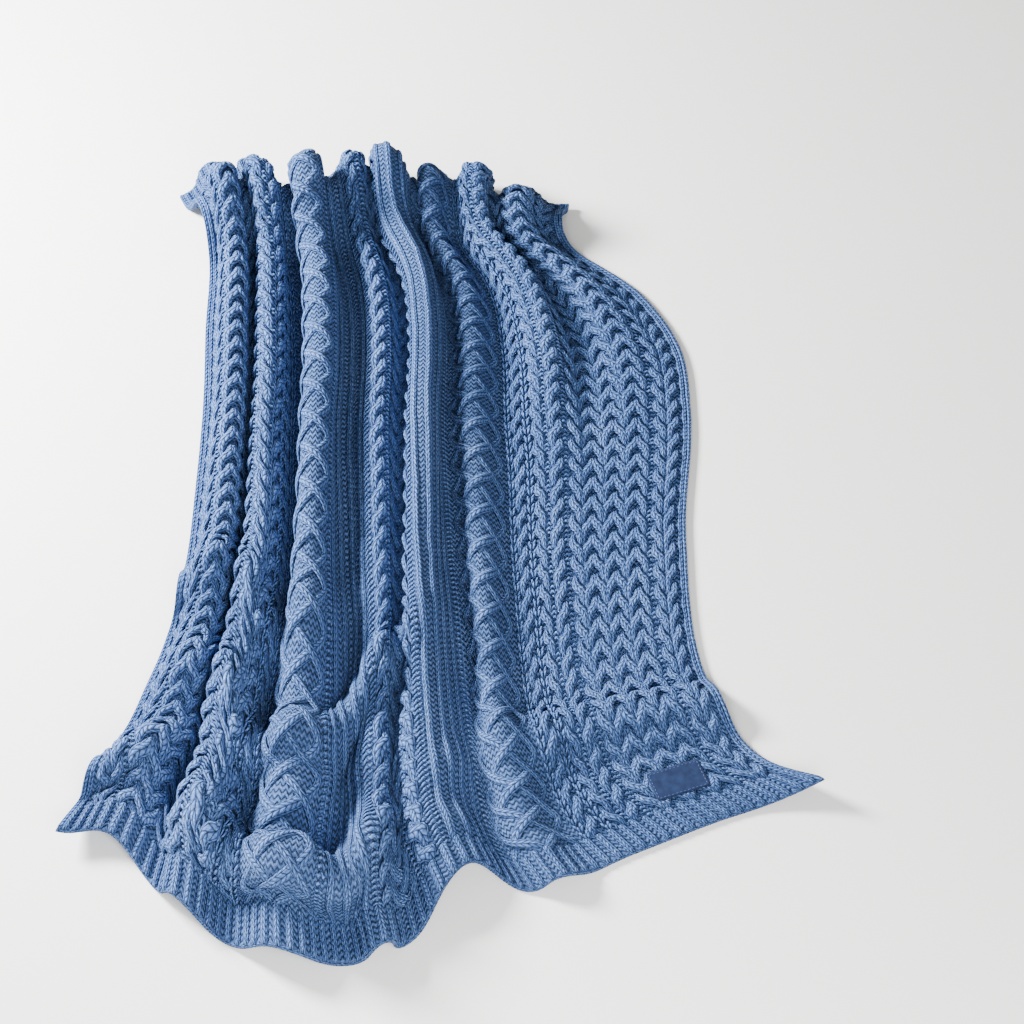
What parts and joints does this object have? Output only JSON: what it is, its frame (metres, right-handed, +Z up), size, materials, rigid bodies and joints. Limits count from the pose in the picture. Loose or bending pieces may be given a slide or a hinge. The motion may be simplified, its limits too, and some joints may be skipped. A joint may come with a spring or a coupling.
{
  "type": "cable knit blanket",
  "caption": "Cable knit throw blanket laid out on the floor in long soft folds, gathered at the far end, with ribbed hems and a small sewn patch.",
  "frame": {"origin": "on the floor, at the middle of the laid-out blanket's bounding box", "axes": "+X to the right along the near hem, +Y from the near hem to the gathered far end, +Z up"},
  "size_m": [1.0519, 1.4798, 0.1609],
  "materials": {
    "knit_yarn": "heathered blue knitted yarn, matt and slightly hairy",
    "suede_patch": "dark blue suede, matt, left bare"
  },
  "bodies": {
    "root": {"blanket": "knit_yarn", "label_patch": "suede_patch"}
  },
  "joints": []
}
